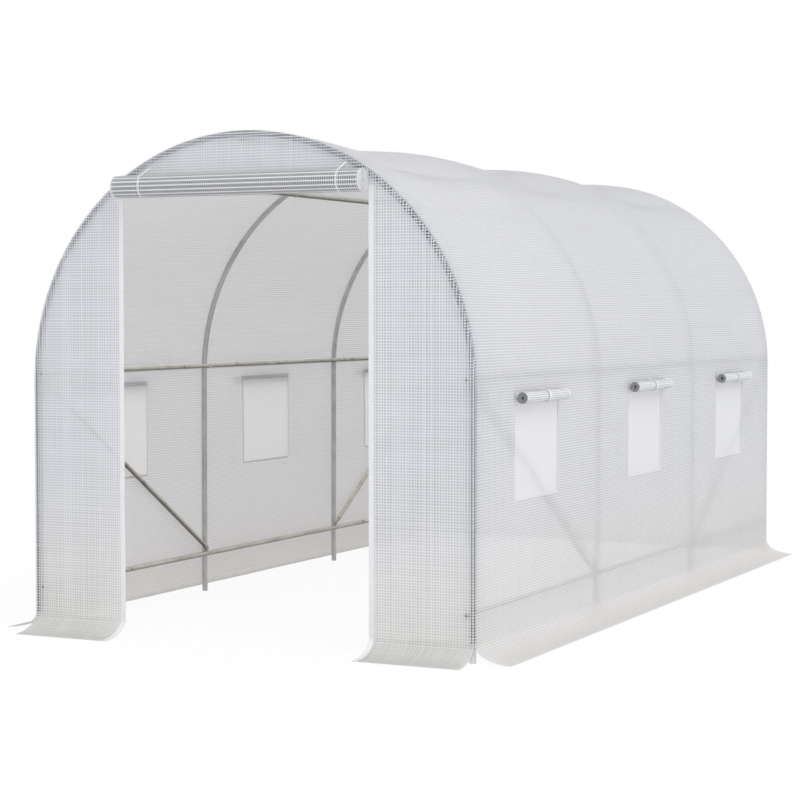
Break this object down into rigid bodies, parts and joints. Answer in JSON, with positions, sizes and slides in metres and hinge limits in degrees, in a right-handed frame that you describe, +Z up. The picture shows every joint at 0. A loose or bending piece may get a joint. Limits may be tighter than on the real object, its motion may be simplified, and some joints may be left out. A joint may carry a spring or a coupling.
{
  "type": "polytunnel greenhouse",
  "caption": "Walk-in polytunnel greenhouse: round-topped steel hoops and bars under a woven film cover with a rolled-up door, screened side windows and flared skirts.",
  "frame": {"origin": "on the ground, in the middle of the plan", "axes": "+Z up, +Y along the tunnel from the door end to the closed end, +X to the right of someone who looks in through the door"},
  "size_m": [2.2956, 4.3156, 2.0398],
  "materials": {
    "steel": "galvanised",
    "cover": "woven translucent film",
    "screen": "fine net",
    "tape": "woven tape"
  },
  "bodies": {
    "root": {"front_legs": "steel", "second_legs": "steel", "third_legs": "steel", "back_legs": "steel", "front_arch": "steel", "second_arch": "steel", "third_arch": "steel", "back_arch": "steel", "ridge_bar": "steel", "left_shoulder_bar": "steel", "right_shoulder_bar": "steel", "left_middle_bar": "steel", "right_middle_bar": "steel", "left_low_bar": "steel", "right_low_bar": "steel", "left_braces": "steel", "right_braces": "steel", "front_wall_left": "cover", "front_wall_right": "cover", "front_wall_top": "cover", "back_wall": "cover", "left_wall": "cover", "right_wall": "cover", "roof_left_lower": "cover", "roof_left_middle": "cover", "roof_left_upper": "cover", "roof_right_upper": "cover", "roof_right_middle": "cover", "roof_right_lower": "cover", "left_skirt": "cover", "right_skirt": "cover", "back_skirt": "cover", "front_left_skirt": "cover", "front_right_skirt": "cover", "left_window_rolls": "cover", "right_window_rolls": "cover", "door_roll": "cover", "left_window_screens": "screen", "right_window_screens": "screen", "left_window_ties": "tape", "right_window_ties": "tape", "door_ties": "tape", "left_door_hem": "tape", "right_door_hem": "tape"}
  },
  "joints": []
}
